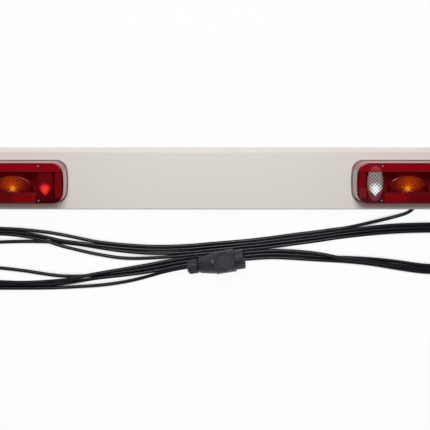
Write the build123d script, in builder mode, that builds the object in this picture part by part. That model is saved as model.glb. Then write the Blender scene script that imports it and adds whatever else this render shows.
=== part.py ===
"""Trailer lighting board, lying on its back with its lamps facing up.

Frame: origin under the middle of the board, on the surface that it lies on. +X runs along the
board to the right, +Y to its top edge and +Z out of its face. Units are millimetres.
"""

import os
from math import cos, pi, radians, sin, tan

from build123d import *

# Board: an extruded channel with a bevel along its top edge and two return lips at the back
board_length = 1067
board_height = 120
board_depth = 25
board_wall = 2.5
bevel_width = 8
bevel_drop = 4
lip_width = 18
bend_radius = 0.5
cap_plate = 3
cap_spigot_depth = 10
cap_spigot_wall = 2
cap_clearance = 0.2
fixing_inset_x = 53.5
fixing_hole_radius = 4.25

# Lamp outline at the lens seat
lamp_spacing = 746
lamp_drop = 4.5
lamp_height = 48
lens_length = 194
lens_width = 80
lens_bulge = 4.5
lens_corner = 22
lens_wall = 2.5
lens_draft = 2
lens_edge_radius = 2
band_width = 17.2
band_rise = 3
gasket_thickness = 1.5
gasket_margin = 1.4
gasket_width = 5
base_margin = 1
base_floor = 3
base_rim_height = 6
base_rim_wall = 2
lamp_clearance = 0.5

# Lens inserts
insert_clearance = 0.15
insert_flange = 1.5
amber_radius_x = 32.3
amber_radius_y = 15.5
amber_drop = 1.3
amber_dome = 2.2
oval_inset = 35.7
oval_edge = 6.5
oval_radius_x = 15.6
window_width = 52
window_drop = 2
window_height = 28
window_sill = 7.5
reflex_screw_gap = 6.8
reflex_amber_gap = 2.6
reflex_gap = 2
reflex_edge = 1
reflex_thickness = 2
reflex_pocket = 1

# Lens screws and the pillars that take them
screw_oval_gap = 12.5
screw_edge = 7.1
screw_radius = 1.5
screw_length = 12
screw_head_radius = 2.6
screw_head_height = 2
pillar_radius = 3
thread_clearance = 0.05

# Reflector, bulbs and lamp fixings
reflector_plate = 1.5
bowl_wall = 1.2
bowl_height = 18
bowl_foot = 10.5
indicator_bowl_radius = 26
side_bowl_radius = 18
holder_radius = 8.8
holder_wall = 1.3
holder_height = 16
holder_floor = 3
bulb_radius = 10.5
bulb_rise = 21
festoon_inset = 10
festoon_radius = 3.5
festoon_length = 26
festoon_tip = 4
festoon_rise = 11
clip_strip_width = 5
clip_strip_thickness = 0.8
stud_spacing = 64
stud_radius = 2.5
stud_reach = 15
stud_head_radius = 5
stud_head_height = 3.5
stud_clearance = 0.2
nut_width = 8
nut_height = 4
washer_radius = 5
washer_thickness = 1
grommet_inset = 14.5
grommet_rise = 16
grommet_radius = 7
grommet_flange = 2
grommet_flange_thickness = 2
grommet_lip = 1.5

# Leads held inside the channel
link_height = 12
lead_clearance = 0.1
lead_end_rise = 2
lead_bend_radius = 7
lead_swing_radius = 30
slot_approach = 40
clip_pitch = 133
clip_count = 4
clip_length = 10
clip_wall = 1.4

# Cable slot in the bottom wall
slot_x = 402.5
slot_width = 26
slot_height = 10.5
slot_z = 9.5
liner_wall = 1.5
liner_depth = 5

# Cable, laid in a hank on the same surface as the board
cable_radius = 3.5
hank_height = 13
hank_margin = 0.4
hank_low_height = 7
hank_bed_width = 36
hank_bed_reach = 60
cable_socket_depth = 6
tail_straight = 22
cable_socket_clearance = 0.1

# Plug: lengths along its axis from the cable end, radii about it
plug_start = (-42.5, -174, 22.2)
plug_yaw = 10.4
plug_roll = 11
plug_pitch = 7.8
gland_length = 22
gland_radius = 14.5
gland_nose_radius = 10.9
gland_nose_length = 3.6
gland_flute_start = 5.8
gland_flute_radius = 2.2
gland_flutes = 8
neck_length = 1.6
neck_radius = 12
body_length = 28.4
body_start_radius = 15.5
body_end_radius = 20.8
shoulder_length = 2
head_length = 41
head_radius = 22.5
head_edge = 2
thumb_pad_radius = 20
thumb_pad_height = 23.2
thumb_pad_rim = 4
thumb_pad_recess = 2
body_rib_width = 2.4
body_rib_height = 17.5
body_rib_spacing = 11
seal_length = 2
seal_radius = 17.5
collar_length = 15
collar_radius = 19.5
collar_wall = 2.2
collar_edge = 0.8
collar_notch_radius = 2
collar_notches = 10
socket_depth = 24
insert_radius = 15
pin_radius = 1.7
pin_length = 8.5
pin_circle = 10
pins_round = 6
pin_seat = 8

# Derived places
half_length = board_length / 2
half_height = board_height / 2
face_z = board_depth
inner_face_z = board_depth - board_wall
base_z = face_z + gasket_thickness
seat_z = base_z + base_floor
rim_top_z = seat_z + base_rim_height
reflector_z = rim_top_z + reflector_plate
front_z = face_z + lamp_height
panel_z = front_z - band_rise
panel_back_z = panel_z - lens_wall
band_back_z = front_z - lens_wall
lamp_y = -lamp_drop
panel_draft = (panel_z - seat_z) * tan(radians(lens_draft))
panel_edge_y = lens_width / 2 - panel_draft
band_y = panel_edge_y - band_width
fixing_spacing_x = board_length - 2 * fixing_inset_x
oval_offset = lens_length / 2 - oval_inset
oval_radius_y = lens_width / 2 - oval_edge
screw_spacing_x = 2 * (oval_offset - screw_oval_gap)
screw_spacing_y = lens_width - 2 * screw_edge
reflex_width = screw_spacing_x / 2 - reflex_screw_gap - reflex_gap / 2
reflex_height = panel_edge_y - reflex_edge - amber_drop - amber_radius_y - reflex_amber_gap
festoon_offset = lens_length / 2 - festoon_inset
grommet_offset = lens_length / 2 - grommet_inset
sides = {"left": -1, "right": 1}


def save(piece, name):
    piece.part.label = name
    export_step(piece.part, f"parts/{name}.step")


def draft_at(z):
    """How far the lens wall has leaned in at height z."""
    return (z - seat_z) * tan(radians(lens_draft))


def lamp_outline(side, margin):
    """The lamp's outline, grown by a margin: straight long sides, bulged ends, round corners."""
    end_x = lens_length / 2 - lens_bulge + margin
    top_y = lens_width / 2 + margin
    with BuildSketch() as outline:
        with BuildLine():
            Line((-end_x, -top_y), (end_x, -top_y))
            ThreePointArc((end_x, -top_y), (end_x + lens_bulge, 0), (end_x, top_y))
            Line((end_x, top_y), (-end_x, top_y))
            ThreePointArc((-end_x, top_y), (-end_x - lens_bulge, 0), (-end_x, -top_y))
        make_face()
        fillet(outline.vertices(), lens_corner + min(margin, 0))
    return outline.sketch.moved(Location((side * lamp_spacing / 2, lamp_y)))


def lamp_points(side, *points):
    """Points of a lamp, given outwards along the board and up from the lamp's centre."""
    return [(side * (lamp_spacing / 2 + out), lamp_y + up) for out, up in points]


def screw_points(side):
    half_x, half_y = screw_spacing_x / 2, screw_spacing_y / 2
    return lamp_points(side, (-half_x, half_y), (half_x, half_y), (-half_x, -half_y), (half_x, -half_y))


def stud_points(side):
    return lamp_points(side, (-stud_spacing / 2, 0), (stud_spacing / 2, 0))


def grommet_points(side):
    """Each lamp has a cable entry at its inner end; the right one also has one at its outer end."""
    entries = [(-grommet_offset, grommet_rise)]
    if side > 0:
        entries.append((grommet_offset, grommet_rise))
    return lamp_points(side, *entries)


def bowl_points(side):
    return lamp_points(side, (-oval_offset, 0), (0, 0), (oval_offset, 0))


def upright(x, y, z=0):
    """A vertical plane through a point, with +X across it and +Z up it, for profiles that are turned."""
    return Plane(origin=(x, y, z), x_dir=(1, 0, 0), z_dir=(0, -1, 0))


def tube_path(points, radii=None):
    """Straight runs joined by tangent arcs, as large as the runs allow unless radii are given."""
    corners = [Vector(p) for p in points]
    if radii is None:
        radii = []
        for before, here, after in zip(corners, corners[1:], corners[2:]):
            turn = (here - before).get_angle(after - here)
            shorter = min((here - before).length, (after - here).length)
            radii.append(0.45 * shorter / tan(radians(turn / 2)))
    with BuildLine() as path:
        FilletPolyline(*points, radius=radii)
    print("arc radii", [round(r) for r in radii], "length", round(path.wires()[0].length, 1))
    return path.wires()[0]


def cable_tube(path, radius):
    start = Plane(origin=path @ 0, z_dir=path % 0)
    with BuildPart() as tube:
        with BuildSketch(start):
            Circle(radius)
        sweep(path=path)
    straight_volume = pi * radius**2 * path.length
    print("tube volume over section times length", round(tube.part.volume / straight_volume, 4))
    return tube


def build_board():
    channel_length = board_length - 2 * cap_plate
    with BuildPart() as board_channel:
        with BuildSketch(Plane.YZ):
            with BuildLine():
                skin = FilletPolyline(
                    (half_height - lip_width, 0),
                    (half_height, 0),
                    (half_height, face_z - bevel_drop),
                    (half_height - bevel_width, face_z),
                    (-half_height, face_z),
                    (-half_height, 0),
                    (-half_height + lip_width, 0),
                    radius=bend_radius + board_wall,
                )
                offset(skin, amount=board_wall, side=Side.LEFT)
            make_face()
        extrude(amount=channel_length / 2, both=True)
        with BuildSketch(Plane.XY.offset(inner_face_z)):
            for side in sides.values():
                with Locations(*stud_points(side)):
                    Circle(stud_radius + stud_clearance)
                with Locations(*grommet_points(side)):
                    Circle(grommet_radius)
        extrude(amount=board_wall, mode=Mode.SUBTRACT)
        with BuildSketch(Plane.XY):
            with GridLocations(fixing_spacing_x, board_height - lip_width, 2, 2):
                Circle(fixing_hole_radius)
        extrude(amount=board_wall, mode=Mode.SUBTRACT)
        with BuildSketch(Plane.XZ.offset(half_height)):
            with Locations((slot_x, slot_z)):
                SlotOverall(slot_width, slot_height)
        extrude(amount=-board_wall, mode=Mode.SUBTRACT)
    save(board_channel, "board_channel")

    with BuildPart() as slot_liner:
        with BuildSketch(Plane.XZ.offset(half_height)):
            with Locations((slot_x, slot_z)):
                SlotOverall(slot_width, slot_height)
                SlotOverall(slot_width - 2 * liner_wall, slot_height - 2 * liner_wall, mode=Mode.SUBTRACT)
        extrude(amount=-liner_depth)
    save(slot_liner, "slot_liner")


def build_end_cap(name, side):
    inset = board_wall + cap_clearance
    with BuildPart() as end_cap:
        with BuildSketch(Plane.YZ.offset(side * (half_length - cap_plate))):
            with BuildLine():
                Polyline(
                    (half_height, 0),
                    (half_height, face_z - bevel_drop),
                    (half_height - bevel_width, face_z),
                    (-half_height, face_z),
                    (-half_height, 0),
                    close=True,
                )
            make_face()
        extrude(amount=side * cap_plate)
        with BuildSketch(Plane.YZ.offset(side * (half_length - cap_plate))):
            with BuildLine():
                Polyline(
                    (half_height - inset, inset + bend_radius),
                    (half_height - inset, face_z - bevel_drop - inset),
                    (half_height - bevel_width - inset, face_z - inset),
                    (-half_height + inset + bend_radius, face_z - inset),
                    (-half_height + inset, face_z - inset - bend_radius),
                    (-half_height + inset, inset + bend_radius),
                    close=True,
                )
            make_face()
            offset(amount=-cap_spigot_wall, mode=Mode.SUBTRACT)
        extrude(amount=-side * cap_spigot_depth)
    save(end_cap, f"end_cap_{name}")


def build_lamp_base(name, side):
    with BuildPart() as lamp_gasket:
        with BuildSketch(Plane.XY.offset(face_z)):
            add(lamp_outline(side, gasket_margin))
            add(lamp_outline(side, gasket_margin - gasket_width), mode=Mode.SUBTRACT)
        extrude(amount=gasket_thickness)
    save(lamp_gasket, f"lamp_gasket_{name}")

    rim_margin = -lens_wall - lamp_clearance
    with BuildPart() as lamp_base:
        with BuildSketch(Plane.XY.offset(base_z)):
            add(lamp_outline(side, base_margin))
        extrude(amount=base_floor)
        with BuildSketch(Plane.XY.offset(seat_z)):
            add(lamp_outline(side, rim_margin))
            add(lamp_outline(side, rim_margin - base_rim_wall), mode=Mode.SUBTRACT)
        extrude(amount=base_rim_height)
        for (x, y) in screw_points(side):
            top_z = band_back_z if y > lamp_y else panel_back_z
            with BuildSketch(Plane.XY.offset(seat_z)):
                with Locations((x, y)):
                    Circle(pillar_radius)
            extrude(amount=top_z - seat_z)
            with BuildSketch(Plane.XY.offset(top_z)):
                with Locations((x, y)):
                    Circle(screw_radius + thread_clearance)
            extrude(amount=-screw_length, mode=Mode.SUBTRACT)
        with BuildSketch(Plane.XY.offset(base_z)):
            with Locations(*stud_points(side)):
                Circle(stud_radius + stud_clearance)
            with Locations(*grommet_points(side)):
                Circle(grommet_radius)
        extrude(amount=base_floor, mode=Mode.SUBTRACT)
    save(lamp_base, f"lamp_base_{name}")

    with BuildPart() as lamp_grommets:
        for x, y in grommet_points(side):
            with BuildSketch(upright(x, y)):
                with BuildLine():
                    Polyline(
                        (cable_radius + lead_clearance, inner_face_z - grommet_flange_thickness),
                        (grommet_radius + grommet_flange, inner_face_z - grommet_flange_thickness),
                        (grommet_radius + grommet_flange, inner_face_z),
                        (grommet_radius, inner_face_z),
                        (grommet_radius, seat_z),
                        (grommet_radius + grommet_lip, seat_z),
                        (grommet_radius, seat_z + grommet_lip),
                        (cable_radius + lead_clearance, seat_z + grommet_lip),
                        close=True,
                    )
                make_face()
            revolve(axis=Axis((x, y, 0), (0, 0, 1)))
    save(lamp_grommets, f"lamp_grommets_{name}")


def build_lamp_fixings(name, side):
    with BuildPart() as lamp_studs:
        with BuildSketch(Plane.XY.offset(seat_z)):
            with Locations(*stud_points(side)):
                RegularPolygon(stud_head_radius, 6)
        extrude(amount=stud_head_height)
        with BuildSketch(Plane.XY.offset(seat_z)):
            with Locations(*stud_points(side)):
                Circle(stud_radius)
        extrude(amount=-(base_floor + gasket_thickness + stud_reach))
    save(lamp_studs, f"lamp_studs_{name}")

    with BuildPart() as lamp_nuts:
        with BuildSketch(Plane.XY.offset(inner_face_z)):
            with Locations(*stud_points(side)):
                Circle(washer_radius)
                Circle(stud_radius + thread_clearance, mode=Mode.SUBTRACT)
        extrude(amount=-washer_thickness)
        with BuildSketch(Plane.XY.offset(inner_face_z - washer_thickness)):
            with Locations(*stud_points(side)):
                RegularPolygon(nut_width / 2, 6, major_radius=False)
                Circle(stud_radius + thread_clearance, mode=Mode.SUBTRACT)
        extrude(amount=-nut_height)
    save(lamp_nuts, f"lamp_nuts_{name}")


def build_lamp_inside(name, side):
    hole_radius = holder_radius + lamp_clearance
    with BuildPart() as lamp_reflector:
        with BuildSketch(Plane.XY.offset(rim_top_z)):
            add(lamp_outline(side, -lens_wall - draft_at(reflector_z) - lamp_clearance))
            with Locations(*bowl_points(side)):
                Circle(hole_radius, mode=Mode.SUBTRACT)
            with Locations(*screw_points(side)):
                Circle(pillar_radius + lamp_clearance, mode=Mode.SUBTRACT)
        extrude(amount=reflector_plate)
        mouth_radii = (side_bowl_radius, indicator_bowl_radius, side_bowl_radius)
        for (x, y), mouth in zip(bowl_points(side), mouth_radii):
            waist = (bowl_foot + mouth) / 2 + bowl_wall
            with BuildSketch(upright(x, y, reflector_z)):
                with BuildLine():
                    foot = Line((bowl_foot, 0), (bowl_foot + bowl_wall, 0))
                    outside = ThreePointArc(
                        foot @ 1,
                        (waist + bowl_wall, bowl_height / 3),
                        (mouth + bowl_wall, bowl_height),
                    )
                    rim = Line(outside @ 1, (mouth, bowl_height))
                    ThreePointArc(rim @ 1, (waist, bowl_height / 3), foot @ 0)
                make_face()
            revolve(axis=Axis((x, y, 0), (0, 0, 1)))
    save(lamp_reflector, f"lamp_reflector_{name}")

    (festoon_x, festoon_y), = lamp_points(side, (-festoon_offset, 0))
    festoon_z = reflector_z + festoon_rise
    festoon_half = festoon_length / 2 + festoon_tip
    with BuildPart() as bulb_holders:
        with BuildSketch(Plane.XY.offset(seat_z)):
            with Locations(*bowl_points(side)):
                Circle(holder_radius)
        extrude(amount=holder_height)
        with BuildSketch(Plane.XY.offset(seat_z + holder_floor)):
            with Locations(*bowl_points(side)):
                Circle(holder_radius - holder_wall)
        extrude(amount=holder_height - holder_floor, mode=Mode.SUBTRACT)
        strip_y = festoon_half + clip_strip_thickness / 2
        with BuildSketch(Plane.XY.offset(reflector_z)):
            with Locations((festoon_x, festoon_y - strip_y), (festoon_x, festoon_y + strip_y)):
                Rectangle(clip_strip_width, clip_strip_thickness)
        extrude(amount=festoon_rise + festoon_radius)
    save(bulb_holders, f"bulb_holders_{name}")

    cap_radius = holder_radius - holder_wall - lamp_clearance / 2
    glass_z = seat_z + holder_floor + bulb_rise
    with BuildPart() as bulbs:
        with BuildSketch(Plane.XY.offset(seat_z + holder_floor)):
            with Locations(*bowl_points(side)):
                Circle(cap_radius)
        extrude(amount=bulb_rise)
        with Locations(*[(x, y, glass_z) for x, y in bowl_points(side)]):
            Sphere(bulb_radius)
        festoon_side = Plane(origin=(festoon_x, festoon_y, festoon_z), x_dir=(0, 1, 0), z_dir=(1, 0, 0))
        with BuildSketch(festoon_side):
            with BuildLine():
                Polyline(
                    (-festoon_half, 0),
                    (-festoon_half, festoon_radius / 2),
                    (-festoon_length / 2, festoon_radius),
                    (festoon_length / 2, festoon_radius),
                    (festoon_half, festoon_radius / 2),
                    (festoon_half, 0),
                    close=True,
                )
            make_face()
        revolve(axis=Axis((festoon_x, festoon_y, festoon_z), (0, 1, 0)))
    save(bulbs, f"bulbs_{name}")


def lens_shell(side):
    """The lens moulding before its openings are cut: drafted skirt, front panel and raised top band."""
    centre_x = side * lamp_spacing / 2
    with BuildPart() as shell:
        with BuildSketch(Plane.XY.offset(seat_z)):
            add(lamp_outline(side, 0))
        extrude(amount=panel_z - seat_z, taper=lens_draft)
        with BuildSketch(Plane.XY.offset(panel_z)):
            add(lamp_outline(side, -draft_at(panel_z)))
            with Locations((centre_x, lamp_y + band_y)):
                Rectangle(lens_length, lens_width, align=(Align.CENTER, Align.MAX), mode=Mode.SUBTRACT)
        extrude(amount=band_rise)
        fillet(shell.edges().group_by(Axis.Z)[-1], lens_edge_radius)
        with BuildSketch(Plane.XY.offset(seat_z)):
            add(lamp_outline(side, -lens_wall))
        extrude(amount=panel_back_z - seat_z, taper=lens_draft, mode=Mode.SUBTRACT)
        with BuildSketch(Plane.XY.offset(panel_back_z)):
            add(lamp_outline(side, -lens_wall - draft_at(panel_back_z)))
            with Locations((centre_x, lamp_y + band_y + lens_wall)):
                Rectangle(lens_length, lens_width, align=(Align.CENTER, Align.MAX), mode=Mode.SUBTRACT)
        extrude(amount=band_rise, mode=Mode.SUBTRACT)
    return shell.part


def window_centre(side):
    """Middle of the block of the inner end wall that the clear window fills."""
    (x, y), = lamp_points(side, (-lens_length / 2, -window_drop))
    return (x, y, seat_z + window_sill + window_height / 2)


def reflex_points(side):
    half_x = (reflex_width + reflex_gap) / 2
    centre_y = -panel_edge_y + reflex_edge + reflex_height / 2
    return lamp_points(side, (-half_x, centre_y), (half_x, centre_y))


def build_lens(name, side):
    shell = lens_shell(side)
    amber_point = lamp_points(side, (0, -amber_drop))
    oval_points = lamp_points(side, (-oval_offset, 0), (oval_offset, 0))
    with BuildPart() as lens_red:
        add(shell)
        with Locations(window_centre(side)):
            Box(
                lens_corner,
                window_width + 2 * insert_clearance,
                window_height + 2 * insert_clearance,
                mode=Mode.SUBTRACT,
            )
        with BuildSketch(Plane.XY.offset(panel_back_z)):
            with Locations(*amber_point):
                Ellipse(amber_radius_x + insert_clearance, amber_radius_y + insert_clearance)
            with Locations(*oval_points):
                Ellipse(oval_radius_x + insert_clearance, oval_radius_y + insert_clearance)
        extrude(amount=lens_wall + insert_clearance, mode=Mode.SUBTRACT)
        with BuildSketch(Plane.XY.offset(panel_z)):
            with Locations(*reflex_points(side)):
                Rectangle(reflex_width + 2 * insert_clearance, reflex_height + 2 * insert_clearance)
        extrude(amount=-reflex_pocket, mode=Mode.SUBTRACT)
        with BuildSketch(Plane.XY.offset(panel_back_z)):
            with Locations(*screw_points(side)):
                Circle(screw_radius + insert_clearance)
        extrude(amount=front_z - panel_back_z, mode=Mode.SUBTRACT)
    save(lens_red, f"lens_red_{name}")

    with BuildPart() as lens_amber:
        with BuildSketch(Plane.XY.offset(panel_back_z)):
            with Locations(*amber_point):
                Ellipse(amber_radius_x, amber_radius_y)
        dome = extrude(amount=lens_wall + amber_dome)
        fillet(dome.edges().group_by(Axis.Z)[-1], amber_dome)
        with BuildSketch(Plane.XY.offset(panel_back_z)):
            with Locations(*amber_point):
                Ellipse(amber_radius_x + insert_flange, amber_radius_y + insert_flange)
        extrude(amount=-insert_flange)
    save(lens_amber, f"lens_amber_{name}")

    for node, point in zip(("lens_inner", "lens_stop"), oval_points):
        with BuildPart() as lens_oval:
            with BuildSketch(Plane.XY.offset(panel_back_z)):
                with Locations(point):
                    Ellipse(oval_radius_x, oval_radius_y)
            extrude(amount=lens_wall)
            with BuildSketch(Plane.XY.offset(panel_back_z)):
                with Locations(point):
                    Ellipse(oval_radius_x + insert_flange, oval_radius_y + insert_flange)
            extrude(amount=-insert_flange)
        save(lens_oval, f"{node}_{name}")

    with BuildPart() as plate_window:
        add(shell)
        with Locations(window_centre(side)):
            Box(lens_corner, window_width, window_height, mode=Mode.INTERSECT)
    save(plate_window, f"plate_window_{name}")

    with BuildPart() as reflex:
        with BuildSketch(Plane.XY.offset(panel_z - reflex_pocket)):
            with Locations(*reflex_points(side)):
                Rectangle(reflex_width, reflex_height)
        extrude(amount=reflex_thickness)
        chamfer(reflex.edges().group_by(Axis.Z)[-1], reflex_thickness / 5)
    save(reflex, f"reflex_{name}")

    with BuildPart() as lens_screws:
        for x, y in screw_points(side):
            head_z = front_z if y > lamp_y else panel_z
            with BuildSketch(upright(x, y, head_z)):
                with BuildLine():
                    Polyline(
                        (0, screw_head_height),
                        (0, -screw_length),
                        (screw_radius, -screw_length),
                        (screw_radius, 0),
                        (screw_head_radius, 0),
                        (screw_head_radius, screw_head_height / 2),
                        (screw_head_radius / 2, screw_head_height),
                        close=True,
                    )
                make_face()
            revolve(axis=Axis((x, y, 0), (0, 0, 1)))
    save(lens_screws, f"lens_screws_{name}")


def build_wiring():
    left_entry = grommet_points(-1)[0]
    right_entry, lead_entry = grommet_points(1)
    end_z = seat_z + lead_end_rise
    link_route = [
        (*left_entry, end_z),
        (*left_entry, link_height),
        (*right_entry, link_height),
        (*right_entry, end_z),
    ]
    link_lead = cable_tube(tube_path(link_route, [lead_bend_radius] * 2), cable_radius)
    save(link_lead, "link_lead")

    slot_point, outside_point = Vector(lead_points[0]), Vector(lead_points[1])
    inner_turn = slot_point + (slot_point - outside_point).normalized() * slot_approach
    inner_route = [
        (*lead_entry, end_z),
        (*lead_entry, slot_z),
        tuple(inner_turn),
        lead_points[0],
    ]
    inner_lead = cable_tube(tube_path(inner_route, [lead_bend_radius, lead_swing_radius]), cable_radius)
    save(inner_lead, "inner_lead")

    clip_width = 2 * (cable_radius + lead_clearance + clip_wall)
    with BuildPart() as cable_clips:
        with BuildSketch(Plane.XY.offset(inner_face_z)):
            with Locations((0, left_entry[1])):
                with GridLocations(clip_pitch, 1, clip_count, 1):
                    Rectangle(clip_length, clip_width)
        extrude(amount=-(inner_face_z - link_height + clip_width / 2))
        with BuildSketch(Plane.YZ.offset(-clip_pitch * clip_count / 2)):
            with Locations((left_entry[1], link_height)):
                Circle(cable_radius + lead_clearance)
        extrude(amount=clip_pitch * clip_count, mode=Mode.SUBTRACT)
    save(cable_clips, "cable_clips")


# Free cable: the route of its two uncoiled stretches, points chosen from how the cable lies
lead_points = [
    (408, -52, slot_z),
    (397.5, -63.5, slot_z),
    (386, -70.5, 7.6),
    (367, -76.5, 4.6),
    (335.6, -83.8, 3.6),
    (297, -93.5, 3.6),
]
tail_points = [
    (-365, -217, 3.6),
    (-310, -217, 3.6),
    (-255, -216.5, 3.6),
    (-205, -213, 3.6),
    (-160, -206, 3.8),
    (-125, -197.5, 6.4),
    (-95, -187, 12.8),
]

# Plug axes: along the plug, and up through its thumb pad
plug_along = Vector(
    cos(radians(plug_pitch)) * cos(radians(plug_yaw)),
    cos(radians(plug_pitch)) * sin(radians(plug_yaw)),
    sin(radians(plug_pitch)),
)
plug_across = Vector(sin(radians(plug_yaw)), -cos(radians(plug_yaw)), 0)
plug_side = Plane(origin=plug_start, x_dir=plug_along, z_dir=plug_across)
plug_axis = Axis(plug_start, plug_along)


def along_plug(distance):
    """A plane across the plug's axis, that far from its cable end, facing the nose."""
    return Plane(origin=Vector(plug_start) + plug_along * distance, x_dir=plug_across, z_dir=plug_along)


def build_cable():
    socket_end = Vector(plug_start) + plug_along * cable_socket_depth
    straight_start = Vector(plug_start) - plug_along * tail_straight
    route = tail_points + [tuple(straight_start), tuple(socket_end)]
    cable_tail = cable_tube(tube_path(route), cable_radius)
    save(cable_tail, "cable_tail")
    cable_lead = cable_tube(tube_path(lead_points), cable_radius)
    save(cable_lead, "cable_lead")

    lead_end = Vector(lead_points[-1])
    lead_dir = (lead_end - Vector(lead_points[-2])).normalized()
    lead_side = Vector(-lead_dir.Y, lead_dir.X, 0) * (cable_radius + hank_margin)
    lead_top, lead_bottom = lead_end - lead_side, lead_end + lead_side
    tail_x, tail_y, _ = tail_points[0]
    tail_half = cable_radius + hank_margin
    with BuildPart() as cable_hank:
        with BuildSketch():
            with BuildLine():
                Polyline(
                    (475, -90), (370, -91), (320, -95.2),
                    (lead_bottom.X, lead_bottom.Y), (lead_top.X, lead_top.Y),
                    (220, -101), (120, -114.4), (10, -125.3), (-50, -131.2), (-110, -132.7), (-170, -129.2),
                    (-220, -123.7), (-270, -112.9), (-320, -103.6), (-370, -98.6), (-468, -97),
                )
                ThreePointArc((-468, -97), (-528.7, -158), (-468, -219))
                Polyline(
                    (-468, -219), (tail_x, tail_y - tail_half), (tail_x, tail_y + tail_half),
                    (-320, -212), (-270, -209.8), (-220, -202), (-170, -196.8), (-110, -186.2),
                    (-50, -179), (10, -172.8), (70, -166.3), (120, -161.5), (220, -167.3),
                    (320, -174.6), (370, -183.4), (475, -191.5),
                )
                ThreePointArc((475, -191.5), (525.7, -140.75), (475, -90))
            make_face()
            with BuildLine():
                Polyline(
                    (475, -109), (370, -110.9), (320, -114.7), (270, -119.6), (220, -127),
                    (135, -140), (170, -143), (220, -147.6), (270, -154.2), (320, -157.1),
                    (370, -162.5), (475, -172),
                )
                ThreePointArc((475, -172), (506.5, -140.5), (475, -109))
            make_face(mode=Mode.SUBTRACT)
            with BuildLine():
                Polyline(
                    (-440, -131), (-320, -130.4), (-270, -144), (-220, -155.8), (-170, -163.3),
                    (-80, -161.2), (-170, -178.5), (-220, -186.4), (-270, -192.3), (-320, -188.6),
                    (-370, -180.7), (-440, -175),
                )
                ThreePointArc((-440, -175), (-462, -153), (-440, -131))
            make_face(mode=Mode.SUBTRACT)
            with BuildLine():
                Polyline(
                    (-285, -131.5), (-245, -137.3), (-220, -142), (-170, -149.3),
                    (-100, -154.3), (-170, -156), (-220, -148.3), (-245, -143), close=True,
                )
            make_face(mode=Mode.SUBTRACT)
            with BuildLine():
                Polyline((-468, -112), (-420, -112), (-345, -122), (-440, -124))
                ThreePointArc((-440, -124), (-469, -153), (-440, -182))
                Polyline(
                    (-440, -182), (-370, -187.7), (-290, -197.7),
                    (-320, -201.5), (-370, -204.2), (-468, -204),
                )
                ThreePointArc((-468, -204), (-514, -158), (-468, -112))
            make_face(mode=Mode.SUBTRACT)
        extrude(amount=hank_height)
        plug_length = gland_length + neck_length + body_length + shoulder_length + head_length
        bed = Plane(
            origin=(plug_start[0], plug_start[1], hank_low_height),
            x_dir=(plug_along.X, plug_along.Y, 0),
            z_dir=(0, 0, 1),
        )
        with BuildSketch(bed):
            with Locations((-hank_bed_reach, 0)):
                Rectangle(
                    plug_length + seal_length + collar_length + 2 * hank_bed_reach,
                    hank_bed_width,
                    align=(Align.MIN, Align.CENTER),
                )
        extrude(amount=hank_height, mode=Mode.SUBTRACT)
    save(cable_hank, "cable_hank")


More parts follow.
